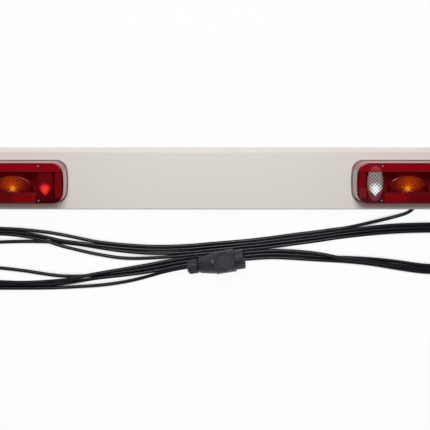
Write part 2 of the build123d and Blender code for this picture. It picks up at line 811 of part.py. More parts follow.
def build_plug():
    neck_x = gland_length
    body_x = neck_x + neck_length
    shoulder_x = body_x + body_length
    head_x = shoulder_x + shoulder_length
    seal_x = head_x + head_length
    collar_x = seal_x + seal_length
    nose_x = collar_x + collar_length

    with BuildPart() as plug_gland_nut:
        with BuildSketch(plug_side):
            with BuildLine():
                Polyline(
                    (0, 0),
                    (0, gland_nose_radius),
                    (gland_nose_length, gland_radius),
                    (gland_length - head_edge, gland_radius),
                    (gland_length, gland_radius - head_edge),
                    (gland_length, 0),
                    close=True,
                )
            make_face()
        revolve(axis=plug_axis)
        with BuildSketch(along_plug(gland_flute_start)):
            with PolarLocations(gland_radius + gland_flute_radius / 2, gland_flutes):
                Circle(gland_flute_radius)
        extrude(amount=gland_length, mode=Mode.SUBTRACT)
        with BuildSketch(along_plug(0)):
            Circle(cable_radius + cable_socket_clearance)
        extrude(amount=cable_socket_depth, mode=Mode.SUBTRACT)
    save(plug_gland_nut, "plug_gland_nut")

    head_middle = head_x + head_length / 2
    pad_plane = Plane(
        origin=Vector(plug_start) + plug_along * head_middle,
        x_dir=plug_along,
        z_dir=plug_across.cross(plug_along).rotate(Axis((0, 0, 0), plug_along), -plug_roll),
    )
    with BuildPart() as plug_body:
        with BuildSketch(plug_side):
            with BuildLine():
                Polyline(
                    (neck_x, 0),
                    (neck_x, neck_radius),
                    (body_x, neck_radius),
                    (body_x, body_start_radius - head_edge / 2),
                    (body_x + head_edge / 2, body_start_radius),
                    (shoulder_x, body_end_radius),
                    (head_x, head_radius - head_edge),
                    (head_x + head_edge, head_radius),
                    (seal_x - head_edge, head_radius),
                    (seal_x, head_radius - head_edge),
                    (seal_x, 0),
                    close=True,
                )
            make_face()
        revolve(axis=plug_axis)
        with BuildSketch(pad_plane):
            Circle(thumb_pad_radius)
        extrude(amount=thumb_pad_height)
        with BuildSketch(pad_plane.offset(thumb_pad_height)):
            Circle(thumb_pad_radius - thumb_pad_rim)
        extrude(amount=-thumb_pad_recess, mode=Mode.SUBTRACT)
        with BuildSketch(pad_plane):
            rib_start = body_x - head_middle
            with Locations((rib_start, -body_rib_spacing / 2), (rib_start, body_rib_spacing / 2)):
                Rectangle(head_x - body_x, body_rib_width, align=(Align.MIN, Align.CENTER))
        extrude(amount=body_rib_height)
        with BuildSketch(along_plug(seal_x)):
            Circle(insert_radius)
        extrude(amount=-socket_depth, mode=Mode.SUBTRACT)
    save(plug_body, "plug_body")

    with BuildPart() as plug_seal:
        with BuildSketch(along_plug(seal_x)):
            Circle(seal_radius)
            Circle(insert_radius, mode=Mode.SUBTRACT)
        extrude(amount=seal_length)
    save(plug_seal, "plug_seal")

    with BuildPart() as plug_collar:
        with BuildSketch(along_plug(collar_x)):
            Circle(collar_radius)
            Circle(collar_radius - collar_wall, mode=Mode.SUBTRACT)
            with PolarLocations(collar_radius + collar_notch_radius / 2, collar_notches):
                Circle(collar_notch_radius, mode=Mode.SUBTRACT)
        extrude(amount=collar_length)
        with BuildSketch(along_plug(collar_x)):
            Circle(collar_radius - collar_wall)
            Circle(insert_radius, mode=Mode.SUBTRACT)
        extrude(amount=collar_wall)
        chamfer(plug_collar.faces().sort_by(plug_axis)[-1].outer_wire().edges(), collar_edge)
    save(plug_collar, "plug_collar")

    insert_start = seal_x - socket_depth
    with BuildPart() as plug_insert:
        with BuildSketch(along_plug(insert_start)):
            Circle(insert_radius)
        extrude(amount=socket_depth + seal_length + collar_wall)
        with BuildSketch(along_plug(collar_x + collar_wall)):
            Circle(pin_radius)
            with PolarLocations(pin_circle, pins_round):
                Circle(pin_radius)
        extrude(amount=-pin_seat, mode=Mode.SUBTRACT)
    save(plug_insert, "plug_insert")

    with BuildPart() as plug_pins:
        with BuildSketch(along_plug(collar_x + collar_wall - pin_seat)):
            Circle(pin_radius)
            with PolarLocations(pin_circle, pins_round):
                Circle(pin_radius)
        extrude(amount=pin_seat + pin_length)
    save(plug_pins, "plug_pins")


os.makedirs("parts", exist_ok=True)
build_board()
for side_name, side_sign in sides.items():
    build_end_cap(side_name, side_sign)
    build_lamp_base(side_name, side_sign)
    build_lamp_fixings(side_name, side_sign)
    build_lamp_inside(side_name, side_sign)
    build_lens(side_name, side_sign)
build_wiring()
build_cable()
build_plug()
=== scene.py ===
# %% [markdown]
# # A trailer lighting board, dressed and lit
# A lighting board hangs on the back of a trailer and repeats the car's rear lamps. Its cable ends in a
# seven-pin plug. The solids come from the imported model, which fixes every size and place. This lesson
# gives them their finishes, draws the fine optics that are moulded into the lamps, and lays the cable.

from math import cos, pi, radians, sin, sqrt

import bpy
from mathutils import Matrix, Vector


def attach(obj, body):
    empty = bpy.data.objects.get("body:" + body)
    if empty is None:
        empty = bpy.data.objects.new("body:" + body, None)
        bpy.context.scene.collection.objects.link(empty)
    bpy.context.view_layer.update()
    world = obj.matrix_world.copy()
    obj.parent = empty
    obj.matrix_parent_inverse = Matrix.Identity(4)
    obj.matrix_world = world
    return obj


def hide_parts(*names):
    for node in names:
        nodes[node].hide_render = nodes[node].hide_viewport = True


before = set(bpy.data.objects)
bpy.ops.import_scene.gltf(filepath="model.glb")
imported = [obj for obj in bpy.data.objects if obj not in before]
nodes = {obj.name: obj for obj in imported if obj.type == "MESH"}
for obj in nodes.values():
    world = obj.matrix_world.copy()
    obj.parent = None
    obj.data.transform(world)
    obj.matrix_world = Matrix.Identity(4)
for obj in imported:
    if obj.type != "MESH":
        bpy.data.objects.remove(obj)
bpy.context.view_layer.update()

# %% [markdown]
# ## A few helpers
# Colours are written as sRGB hex values, the way a paint program shows them, and Blender's shaders want
# linear numbers, so one function converts them. A second one adds a node to a material with its settings
# and inputs: an input named `_2` is the third socket, and any other name is the socket's own, with `_` for
# a space. An input may be a number, a colour, a socket, or a node, which stands for its first output. A
# third function starts a plastic or metal from flat values, and a fourth puts a material on CAD nodes.
# Sizes are written in millimetres and multiplied by `mm`.

# %% Helpers
mm = 0.001


def linear(hex_colour):
    channels = [int(hex_colour[i : i + 2], 16) / 255 for i in (1, 3, 5)]
    return [c / 12.92 if c <= 0.04045 else ((c + 0.055) / 1.055) ** 2.4 for c in channels] + [1]


def add_node(material, kind, settings=None, **inputs):
    tree = material.node_tree
    made = tree.nodes.new(kind)
    for name, value in (settings or {}).items():
        setattr(made, name, value)
    for name, value in inputs.items():
        socket = made.inputs[int(name[1:]) if name[0] == "_" else name.replace("_", " ")]
        if isinstance(value, bpy.types.Node):
            value = next(output for output in value.outputs if output.enabled)
        if isinstance(value, bpy.types.NodeSocket):
            tree.links.new(value, socket)
        else:
            socket.default_value = value
    return made


def start_material(name, **values):
    material = bpy.data.materials.new(name)
    material.use_nodes = True
    shader = material.node_tree.nodes["Principled BSDF"]
    for socket, value in values.items():
        shader.inputs[socket.replace("_", " ")].default_value = value
    return material, shader


def dress(material, *names):
    for name in names:
        nodes[name].material_slots[0].material = material
    print(material.name, "on", ", ".join(names))


print("mid grey in linear numbers:", [round(c, 3) for c in linear("#808080")])

# %% [markdown]
# ## The camera
# The board lies on its back on a table and the camera looks down on it from above its top edge, so that
# the far side of each lamp shows as a thin strip. A new camera looks straight down with +Y upwards in its
# picture, so it only has to be tilted a little about X. The board's short edges stay parallel in the
# picture, which tells of a camera that was nearly square to the board and a picture cut from its side, so
# the rest of the framing is lens shift.

# %% Camera
camera_place = Vector((-40.5, 146, 1662)) * mm
camera_tilt = radians(-3.85)
focal_pixels = 846
frame_pixels = 430
sensor_width = 36
shift_right, shift_up = 0.061, -0.127

bpy.ops.object.select_all(action="DESELECT")
bpy.ops.object.camera_add(location=camera_place, rotation=(camera_tilt, 0, 0))
camera = bpy.context.object
camera.name = "camera"
camera.data.sensor_width = sensor_width
camera.data.lens = sensor_width * focal_pixels / frame_pixels
camera.data.shift_x, camera.data.shift_y = shift_right, shift_up
bpy.context.scene.camera = camera
print("lens", round(camera.data.lens, 1), "mm")

# %% [markdown]
# ## The cable
# The cable leaves the board through the slot in its bottom wall and is folded into a flat hank: four
# passes on the board's side, three below them and the tail that runs to the plug, with a turn at each end.
# A real cable lies in long easy bends. It could be drawn strand by strand, but then its ends would not
# meet, so it is one smooth curve through points on each pass, and its length can be measured. Every pass is
# written as how far below the board's middle it lies, at the same stations along the board. The first
# pass stops early, where the cable comes in from the slot.

# %% Where the passes lie, in mm
stations = [-420, -370, -320, -295, -270, -245, -220, -170, -110, -50,
            10, 70, 120, 170, 220, 245, 270, 320, 370, 425]
passes = {
    "first": [-99.5, -102, -107.5, -112, -116.8, -122.6, -127.6, -133, -136.5, -135,
              -129.2, -124.1, -118.3, -111.6, -105.3, -101.6, -98.5],
    "second": [-213, -213, -212.8, -211.3, -207.3, -202.8, -198.2, -193.2, -185.6, -172.2,
               -167.3, -161.8, -157.5, -160, -163.2, -164.4, -166, -171, -179.9, -188.3],
    "third": [-105.5, -108.5, -117.5, -123.5, -126.8, -129.8, -133.3, -139.2, -143, -141.5,
              -135.5, -130, -124.5, -118, -111.5, -107.8, -104, -97.6, -93.2, -91.7],
    "fourth": [-206, -208, -205.8, -203.4, -200.2, -193.8, -189, -181, -171, -158.6,
               -153.9, -148.4, -144, -145.4, -150, -155.2, -160.6, -166, -173, -181.5],
    "fifth": [-127.5, -126, -126.5, -128, -130.5, -133.8, -138.3, -146, -150.8, -149,
              -142, -136.2, -130.8, -124.3, -117.8, -114, -110.4, -104.3, -100, -98.4],
    "sixth": [-178.5, -184, -192.2, -195.2, -196, -195, -193.5, -187.5, -178.6, -165.4,
              -160.6, -155.1, -150.8, -152.8, -157, -158, -158.2, -160.7, -165.8, -174.6],
    "seventh": [-109.5, -113.6, -123.5, -133.5, -140, -146.8, -152.1, -160.6, -159, -153.4,
                -147, -141.6, -137.2, -130.3, -123.5, -119.2, -116, -110.6, -106.8, -105.2],
}
print("passes:", len(passes), "with", len(stations), "stations each, but for the first")

# %% [markdown]
# A cable that is laid down takes the lowest place that is free. Two passes whose centres are closer than
# the cable's thickness have to lie at different heights, and how different follows from the gap: two
# circles that touch have their centres one thickness apart. Where two passes cross, the gap is nothing. The
# passes are laid one after another, each on those before it, and a soft sheath gives way a little. Each
# climb also lifts the stations beside it, so that the cable goes over in a long low hump.

# %% How high each pass lies
cable_radius = 3.5
sheath_give = 0.3
hump_share = 0.6
touching = 2 * cable_radius - sheath_give
rounding = 1e-6
climbs = {}


def gap_at(own, other, place):
    """Distance between two passes at a station, or 0 where they cross just before or after it."""
    gap = own[place] - other[place]
    beside = [k for k in (place - 1, place + 1) if 0 <= k < min(len(own), len(other))]
    crosses = any((own[k] - other[k]) * gap < 0 for k in beside)
    return 0 if crosses else abs(gap)


def lowest_free(name, *laid):
    own = passes[name]
    free = []
    for place in range(len(own)):
        taken = []
        for other in laid:
            if place < len(passes[other]) and gap_at(own, passes[other], place) < touching:
                apart = sqrt(touching**2 - gap_at(own, passes[other], place) ** 2)
                taken.append((climbs[other][place], apart))
        choices = [0] + [height + apart for height, apart in taken]
        fits = [c for c in choices if all(abs(c - height) > apart - rounding for height, apart in taken)]
        free.append(min(fits))
    before = [0] + free[:-1]
    after = free[1:] + [0]
    return [max(here, hump_share * b, hump_share * a) for b, here, a in zip(before, free, after)]


for name, *laid in (
    ("fifth",),
    ("third", "fifth"),
    ("seventh", "fifth", "third"),
    ("first", "third", "fifth", "seventh"),
    ("sixth",),
    ("second", "sixth"),
    ("fourth", "sixth", "second", "seventh"),
):
    climbs[name] = lowest_free(name, *laid)
    print("the", name, "pass climbs", round(max(climbs[name]), 1), "mm")

# %% [markdown]
# The route strings the passes together. A turn is a half circle from one pass to the next. The curve will
# cut inside its points a little, so they lie a little too far out. The last turn crosses over two earlier
# ones, and the tail climbs to the plug, which lies on top of the hank.

# %% The whole route, from the slot in the board to the plug
floor_height = 3.55
too_far_out = 1.02
left_x, teardrop_x, right_x = -468, -440, 475
on_floor = [0] * 7
over_two_turns = [4, 5, 7, 7, 7, 5, 3]
lead = [(408, -52, 9.5), (397.5, -63.5, 9.5), (386, -70.5, 7.6), (367, -76.5, 4.6), (335.6, -84.6, 3.6)]
tail = [(-420, -219.2, 6.6), (-365, -219.2, 6.6), (-310, -218.8, 6.2), (-255, -216.5, 3.6),
        (-205, -213, 3.6), (-160, -205.8, 3.8), (-125, -196.8, 6.4), (-95, -186.4, 12.8),
        (-63.9, -177.9, 19.2), (-36.7, -172.9, 23)]


def run(name, leftwards):
    """Points of one pass, in the order that the cable takes them."""
    points = [(x, y, floor_height + climb) for x, y, climb in zip(stations, passes[name], climbs[name])]
    return points[::-1] if leftwards else points


def turn(centre_x, y_start, y_end, outwards, lifts):
    radius = (y_start - y_end) / 2
    middle_y = (y_start + y_end) / 2
    last = len(lifts) - 1
    points = []
    for count, lift in enumerate(lifts):
        angle = count * pi / last
        x = centre_x + outwards * too_far_out * abs(radius) * sin(angle)
        y = middle_y + (radius if count in (0, last) else too_far_out * radius) * cos(angle)
        points.append((x, y, floor_height + lift))
    return points


route = lead + run("first", leftwards=True)
route += turn(left_x, -99, -213, -1, on_floor)
route += run("second", leftwards=False)
route += turn(right_x, -188.5, -91.7, 1, on_floor)
route += run("third", leftwards=True)
route += turn(left_x, -106.2, -206, -1, on_floor)
route += run("fourth", leftwards=False)
route += turn(right_x, -182, -99.2, 1, on_floor)
route += run("fifth", leftwards=True)
route += turn(teardrop_x, -128.5, -178, -1, on_floor)
route += run("sixth", leftwards=False)
route += turn(right_x, -175.2, -105.9, 1, on_floor)
route += run("seventh", leftwards=True)
route += turn(left_x, -111.5, -218.6, -1, over_two_turns)
route += tail
print("cable points:", len(route))

# %% [markdown]
# The curve is a NURBS spline of order 3: it passes close to every point without overshooting, which a
# curve that goes exactly through its points would do at the turns. The order and the end points are set
# after the points are there, because adding points sets them back. The radius is a property of the points,
# and a bevel depth of 1 uses it as it is; Blender also counts it when it measures the curve's box.

# %% Make the cable
bpy.ops.object.select_all(action="DESELECT")
bpy.ops.curve.primitive_nurbs_path_add(location=(0, 0, 0))
cable = bpy.context.object
cable.name = "cable"
cable.data.splines.clear()
spline = cable.data.splines.new("NURBS")
spline.points.add(len(route) - 1)
for point, place in zip(spline.points, route):
    point.co = (*(Vector(place) * mm), 1)
    point.radius = cable_radius * mm
spline.order_u = 3
spline.use_endpoint_u = True
spline.resolution_u = 8
cable.data.dimensions = "3D"
cable.data.bevel_depth = 1
cable.data.bevel_resolution = 4
cable.data.use_fill_caps = True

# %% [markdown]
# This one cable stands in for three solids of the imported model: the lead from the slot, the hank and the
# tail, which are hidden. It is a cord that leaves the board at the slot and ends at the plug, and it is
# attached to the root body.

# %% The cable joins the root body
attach(cable, "root")
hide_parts("cable_lead", "cable_hank", "cable_tail")

# %% [markdown]
# ## The board
# The board is extruded from off-white rigid PVC, with end caps pressed into its ends. A pattern could be
# drawn on it, but extruded PVC has none: it is smooth, and its colour and sheen are enough.

# %% Off-white PVC
# Smooth but not polished: light slides over it in one soft, wide sheen
board_pvc, _ = start_material(
    "extruded off-white PVC", Base_Color=linear("#dedad2"), Roughness=0.45, IOR=1.53
)
dress(board_pvc, "board_channel", "end_cap_left", "end_cap_right")

# %% [markdown]
# ## Lamp colours
# A lamp's colour comes from dyed acrylic over a silvered reflector. What the eye meets is a mixture: some
# light comes back from the plastic and its fine prisms, and some from the reflector behind. The prisms
# could be modelled, but each is smaller than a pixel of the picture. So each lens is part dyed plastic and
# part clear, and the light that the optics gather, and the shade where they lose it, are painted into the
# dyed part's colour. The drawing uses lamp coordinates in millimetres: `out` grows from the lamp's middle
# towards the board's end, and `up` towards its top edge, so that one material serves both lamps.

# %% Lamp coordinates
lamp_x = 373
lamp_y = -4.5
times = {"operation": "MULTIPLY"}
minus = {"operation": "SUBTRACT"}
without_sign = {"operation": "ABSOLUTE"}
eased = {"interpolation_type": "SMOOTHSTEP"}
mixed_colour = {"data_type": "RGBA"}


def lamp_coordinates(material):
    """Distances in mm: along the board, and outwards and upwards from the middle of the nearer lamp."""
    place = add_node(material, "ShaderNodeTexCoord").outputs["Object"]
    in_mm = add_node(material, "ShaderNodeVectorMath", {"operation": "SCALE"}, Vector=place, Scale=1 / mm)
    split = add_node(material, "ShaderNodeSeparateXYZ", Vector=in_mm)
    from_middle = add_node(material, "ShaderNodeMath", without_sign, _0=split.outputs["X"])
    out = add_node(material, "ShaderNodeMath", minus, _0=from_middle, _1=lamp_x)
    up = add_node(material, "ShaderNodeMath", minus, _0=split.outputs["Y"], _1=lamp_y)
    return split.outputs["X"], out, up


print("lamps are drawn about", (lamp_x, lamp_y), "and", (-lamp_x, lamp_y))

# %% [markdown]
# Three drawing steps are used again and again on the lenses. A stripe holds between two limits, a spot
# fades from the middle of an ellipse to its edge, and paint lays one colour over another where all its
# masks hold. A stripe that runs off the lens ends at a limit well past the lens's edge.

# %% Drawing steps
past_end = 120
past_top = 60
past_foot = -60
past_middle = -1


def stripe(material, value, start, end, soft=0.4):
    rises = add_node(
        material, "ShaderNodeMapRange", eased, Value=value, From_Min=start - soft, From_Max=start + soft
    )
    falls = add_node(
        material, "ShaderNodeMapRange", eased, Value=value, From_Min=end + soft, From_Max=end - soft
    )
    return add_node(material, "ShaderNodeMath", times, _0=rises, _1=falls)


def spot(material, across, up, centre, reach, full=1.0):
    """0 at the ellipse's edge and beyond, 1 from a share of the way in."""
    place = add_node(material, "ShaderNodeCombineXYZ", X=across, Y=up)
    about_centre = {"vector_type": "TEXTURE"}
    ellipse = add_node(
        material, "ShaderNodeMapping", about_centre, Vector=place, Location=(*centre, 0), Scale=(*reach, 1)
    )
    ball = add_node(material, "ShaderNodeTexGradient", {"gradient_type": "SPHERICAL"}, Vector=ellipse)
    return add_node(material, "ShaderNodeMapRange", eased, Value=ball.outputs["Fac"], From_Max=full)


def paint(material, under, over, *masks):
    mask = masks[0]
    for another in masks[1:]:
        mask = add_node(material, "ShaderNodeMath", times, _0=mask, _1=another)
    return add_node(material, "ShaderNodeMix", mixed_colour, _0=mask, _6=under, _7=over)


print("stripes run off a lens at", past_end, "mm outwards,", past_top, "up and", past_foot, "down")

# %% [markdown]
# A lens is lit from outside: a lamp's rays go through the dyed plastic to the reflector and come back.
# Blender would take refracted rays to be shadow, so for rays that look for a light the lens is simply a
# tinted film.


# %% Finishing a lens
def finish_lens(material, shader, colour):
    tree = material.node_tree
    tree.links.new(colour.outputs["Result"], shader.inputs["Base Color"])
    path = add_node(material, "ShaderNodeLightPath")
    film = add_node(material, "ShaderNodeBsdfTransparent", Color=colour)
    surface = add_node(material, "ShaderNodeMixShader", _0=path.outputs["Is Shadow Ray"], _1=shader, _2=film)
    tree.links.new(surface.outputs["Shader"], tree.nodes["Material Output"].inputs["Surface"])
    print(material.name, "has", len(tree.nodes), "nodes")


# %% [markdown]
# The red lens is drawn in layers, each over those before it. Its ground is a deep red, a little darker
# higher up. In the corners round the indicator a honeycomb of prisms sends the light away and looks nearly
# black. The cells are drawn a little larger than the real ones, which would be lost between the pixels.

# %% Red acrylic: ground and honeycomb
honeycomb_pitch = 3.6
cell_edge, cell_floor = 0.02, 0.2
ground_low, ground_high = -12, 16
upper_honeycomb, upper_honeycomb_reach = (33, 15), (17, 10)
lower_honeycomb, lower_honeycomb_reach = (36, -11), (8, 9)

# Polished dyed plastic: a glossy skin with depth behind it, part of the light going through
red_acrylic, red_shader = start_material(
    "moulded red acrylic", Roughness=0.08, IOR=1.49, Specular_IOR_Level=0.25, Transmission_Weight=0.3
)
along, out, up = lamp_coordinates(red_acrylic)
across = add_node(red_acrylic, "ShaderNodeMath", without_sign, _0=out)
place = add_node(red_acrylic, "ShaderNodeCombineXYZ", X=out, Y=up)

high_up = add_node(
    red_acrylic, "ShaderNodeMapRange", eased, Value=up, From_Min=ground_low, From_Max=ground_high
)
red = paint(red_acrylic, linear("#6c060c"), linear("#580509"), high_up)
cell_edges = {"voronoi_dimensions": "2D", "feature": "DISTANCE_TO_EDGE"}
cells = add_node(
    red_acrylic, "ShaderNodeTexVoronoi", cell_edges, Vector=place, Scale=1 / honeycomb_pitch, Randomness=0.3
)
cells = add_node(
    red_acrylic, "ShaderNodeMapRange", eased, Value=cells, From_Min=cell_edge, From_Max=cell_floor
)
honeycomb = paint(red_acrylic, linear("#70080e"), linear("#020000"), cells)
upper_corner = spot(red_acrylic, across, up, upper_honeycomb, upper_honeycomb_reach, full=0.4)
lower_corner = spot(red_acrylic, across, up, lower_honeycomb, lower_honeycomb_reach, full=0.6)
larger = {"operation": "MAXIMUM"}
corners = add_node(red_acrylic, "ShaderNodeMath", larger, _0=upper_corner, _1=lower_corner)
red = paint(red_acrylic, red, honeycomb, corners)
print("honeycomb cells of", honeycomb_pitch, "mm")

# %% [markdown]
# Beside the ovals the lens is dark, and towards its ends it is brighter. Its foot is dark beyond the reflex
# panels. Beside the clear oval both the end and the foot are greyer, because light from the clear chamber
# washes over them.

# %% Red acrylic: ends and foot
dark_column = 74, 79
bright_end = 79.5, past_end
grey_end, grey_end_top = (77, past_end), -9
foot_top = -28
reflex_end = 44

red = paint(red_acrylic, red, linear("#3e0408"), stripe(red_acrylic, across, *dark_column))
red = paint(red_acrylic, red, linear("#860b15"), stripe(red_acrylic, across, *bright_end))
by_clear_oval = stripe(red_acrylic, along, 0, lamp_x)
low_down = stripe(red_acrylic, up, past_foot, grey_end_top)
at_end = stripe(red_acrylic, across, *grey_end, soft=1)
red = paint(red_acrylic, red, linear("#86222e"), low_down, at_end, by_clear_oval)
foot = stripe(red_acrylic, up, past_foot, foot_top, soft=2)
beyond_reflex = stripe(red_acrylic, across, reflex_end, past_end, soft=1)
red = paint(red_acrylic, red, linear("#40080e"), foot, beyond_reflex)
red = paint(red_acrylic, red, linear("#5c1a24"), foot, beyond_reflex, by_clear_oval)
print("the foot begins", -foot_top, "mm below the lamp's middle")

# %% [markdown]
# Thin lines mark the walls between the lamp's chambers: a bright upright one beside the oval, and a dull
# one below the indicator, with a few painted glints, highlights where the indicator's light meets it. Under
# the reflex panels lies a dark line, the shadow of their pocket.

# %% Red acrylic: chamber walls
prism_size = 3.3
chamber_wall, chamber_wall_height = (41, 42), (-15, -4)
chamber_floor, chamber_floor_width = (-18.6, -17.6), (past_middle, 42)
glint_place, glint_reach = (-3, -18.4), (10, 2.4)
pocket_top = -37.4

wall_line = stripe(red_acrylic, across, *chamber_wall)
wall_height = stripe(red_acrylic, up, *chamber_wall_height, soft=3)
red = paint(red_acrylic, red, linear("#b8141e"), wall_line, wall_height)
floor_line = stripe(red_acrylic, up, *chamber_floor)
floor_width = stripe(red_acrylic, across, *chamber_floor_width)
red = paint(red_acrylic, red, linear("#5c2630"), floor_line, floor_width)
facets = add_node(red_acrylic, "ShaderNodeTexChecker", Vector=place, Scale=1 / prism_size).outputs["Fac"]
# Painted highlights: a few glints, broken up by the prisms' facets
glint = spot(red_acrylic, out, up, glint_place, glint_reach, full=0.5)
red = paint(red_acrylic, red, linear("#c01c38"), glint, facets)
under_reflex = stripe(red_acrylic, up, past_foot, pocket_top)
reflex_width = stripe(red_acrylic, across, past_middle, reflex_end)
red = paint(red_acrylic, red, linear("#1c0408"), under_reflex, reflex_width)
print("glints are broken up by prisms of", prism_size, "mm")

# %% [markdown]
# The raised band along the top is the brightest red. It has fine flutes behind it, drawn as wide as they
# have to be to show. Through the band, the top of the clear oval shows as a paler patch. The rounded ends
# of the lens end in a dark rim, which follows their bulge: the further up or down, the less far the end
# reaches.

# %% Red acrylic: band and rim
band_edge = 22
flute_pitch = 3
waves_per_unit = 10 / pi
oval_offset = 61.3
oval_radius_x, oval_radius_y = 15.6, 33.5
patch_margin_x, patch_margin_y = 0.6, 1
end_reach, end_bulge, end_half_height = 94.4, 4.5, 40
rim_width, skirt_reach = 1.6, 9

band = stripe(red_acrylic, up, band_edge, past_top)
# Blender's wave texture has 10 / pi waves in a length of 1 at a scale of 1
flutes = add_node(red_acrylic, "ShaderNodeTexWave", Vector=place, Scale=1 / (waves_per_unit * flute_pitch))
band_colour = paint(red_acrylic, linear("#960815"), linear("#a20a19"), flutes.outputs["Fac"])
red = paint(red_acrylic, red, band_colour, band)
patch_place = lamp_x - oval_offset, 0
patch_reach = oval_radius_x + patch_margin_x, oval_radius_y + patch_margin_y
oval_top = spot(red_acrylic, along, up, patch_place, patch_reach, full=0.04)
patch = paint(red_acrylic, linear("#c8545e"), linear("#8a202c"), facets)
red = paint(red_acrylic, red, patch, band, oval_top)

up_squared = add_node(red_acrylic, "ShaderNodeMath", times, _0=up, _1=up)
bulge = add_node(red_acrylic, "ShaderNodeMath", times, _0=up_squared, _1=end_bulge / end_half_height**2)
from_end = add_node(red_acrylic, "ShaderNodeMath", {"operation": "ADD"}, _0=across, _1=bulge)
rim = stripe(red_acrylic, from_end, end_reach - rim_width, end_reach + skirt_reach)
red = paint(red_acrylic, red, linear("#2c0812"), rim)
print("flutes every", flute_pitch, "mm")

# %% [markdown]
# The side walls are seen edge on, through less plastic, and are paler; the rounded edge above them is
# painted dark, as shade. Which is which follows from how far a face points upwards. Acrylic also pipes
# light to its edges: what comes in through the face leaves at the walls, most of it low down, on the side
# away from the light. That light is painted as a faint glow of the walls, an emission that also tints the
# board beside them.

# %% Red acrylic: walls
level_from, level_to = 0.9, 0.99
wall_from, wall_to = 0.3, 0.1
glow_low, glow_high = -30, 30
strong_glow, weak_glow = 0.1, 0.06

normal = add_node(red_acrylic, "ShaderNodeNewGeometry").outputs["True Normal"]
upright = add_node(red_acrylic, "ShaderNodeSeparateXYZ", Vector=normal).outputs["Z"]
level = add_node(
    red_acrylic, "ShaderNodeMapRange", eased, Value=upright, From_Min=level_from, From_Max=level_to
)
# Painted shade: the rounded edge between the face and the walls is dark
red = paint(red_acrylic, linear("#30060c"), red, level)
not_wall = add_node(
    red_acrylic, "ShaderNodeMapRange", eased, Value=upright, From_Min=wall_to, From_Max=wall_from
)
red = paint(red_acrylic, linear("#a0262c"), red, not_wall)
wall = add_node(
    red_acrylic, "ShaderNodeMapRange", eased, Value=upright, From_Min=wall_from, From_Max=wall_to
)
# Painted glow: the walls give off a little red light, most of it low down
piped = add_node(
    red_acrylic, "ShaderNodeMapRange", eased, Value=up,
    From_Min=glow_low, From_Max=glow_high, To_Min=strong_glow, To_Max=weak_glow,
)
piped = add_node(red_acrylic, "ShaderNodeMath", times, _0=piped, _1=wall)
red_shader.inputs["Emission Color"].default_value = linear("#ff2a20")
red_acrylic.node_tree.links.new(piped.outputs["Value"], red_shader.inputs["Emission Strength"])
finish_lens(red_acrylic, red_shader, red)
dress(red_acrylic, "lens_red_left", "lens_red_right")

# %% [markdown]
# The ovals are moulded with rows of small pyramids, each row set half a step along, so that their lit and
# shaded faces take turns like the squares of a checkerboard. That light and shade is painted: the darker
# squares are painted shade. They are drawn about twice as coarse as the real ones, which would be lost
# between the pixels. An oval is darker low down and towards its edge, and a strip along its top, under the
# lens's band, has a tint of its own.

# %% Ovals: the prisms
shade_low, shade_high = -24, -4
lit_part_up, lit_margin = 4, 1
strip_height = 3
shaded_facet_share = 0.75


def oval_ground(material, across, up, facets, upper, lower, edge, strip, shaded_facet):
    high_up = add_node(
        material, "ShaderNodeMapRange", eased, Value=up, From_Min=shade_low, From_Max=shade_high
    )
    colour = paint(material, linear(lower), linear(upper), high_up)
    centre, reach = (oval_offset, lit_part_up), (oval_radius_x + lit_margin, oval_radius_y)
    middle = spot(material, across, up, centre, reach, full=0.4)
    colour = paint(material, linear(edge), colour, middle)
    top_strip = stripe(material, up, band_edge - strip_height, band_edge)
    colour = paint(material, colour, linear(strip), top_strip)
    return paint(material, colour, linear(shaded_facet), facets, shaded_facet_share)


print("pyramids of", prism_size, "mm, ovals", 2 * oval_radius_x, "x", 2 * oval_radius_y, "mm")

# %% [markdown]
# The light that the reflector behind an oval gathers is painted as a drop below its middle, narrow at the
# foot and wide at the shoulder. The pyramids break up the drop's edge: `hatch` says how much dimmer their
# shaded faces are, and `softness` how slowly the drop fades.

# %% Ovals: the drop of light
drop_inset = 0.8
drop_place = oval_offset - drop_inset
drop_foot, drop_middle, drop_shoulder = -29.5, -12, -6
foot_width, shoulder_width = 4, 16.5


def drop_of_light(material, across, up, facets, hatch, softness):
    width = add_node(
        material, "ShaderNodeMapRange", eased, Value=up,
        From_Min=drop_foot, From_Max=drop_shoulder, To_Min=foot_width, To_Max=shoulder_width,
    )
    from_drop = add_node(material, "ShaderNodeMath", minus, _0=across, _1=drop_place)
    share_of_width = add_node(material, "ShaderNodeMath", {"operation": "DIVIDE"}, _0=from_drop, _1=width)
    drop = spot(material, share_of_width, up, (0, drop_middle), (1, drop_middle - drop_foot))
    times_and_plus = {"operation": "MULTIPLY_ADD"}
    broken = add_node(material, "ShaderNodeMath", times_and_plus, _0=facets, _1=-hatch, _2=drop)
    return add_node(material, "ShaderNodeMapRange", eased, Value=broken, From_Max=softness)


print("the drop is", drop_shoulder - drop_foot, "mm from foot to shoulder")

# %% [markdown]
# One recipe then makes both kinds of oval. The right lamp's inner oval is clear, for the reversing light,
# and the others are red. The drop also gleams a little by itself, which stands in for the light that the
# reflector gathers there and that isn't traced.


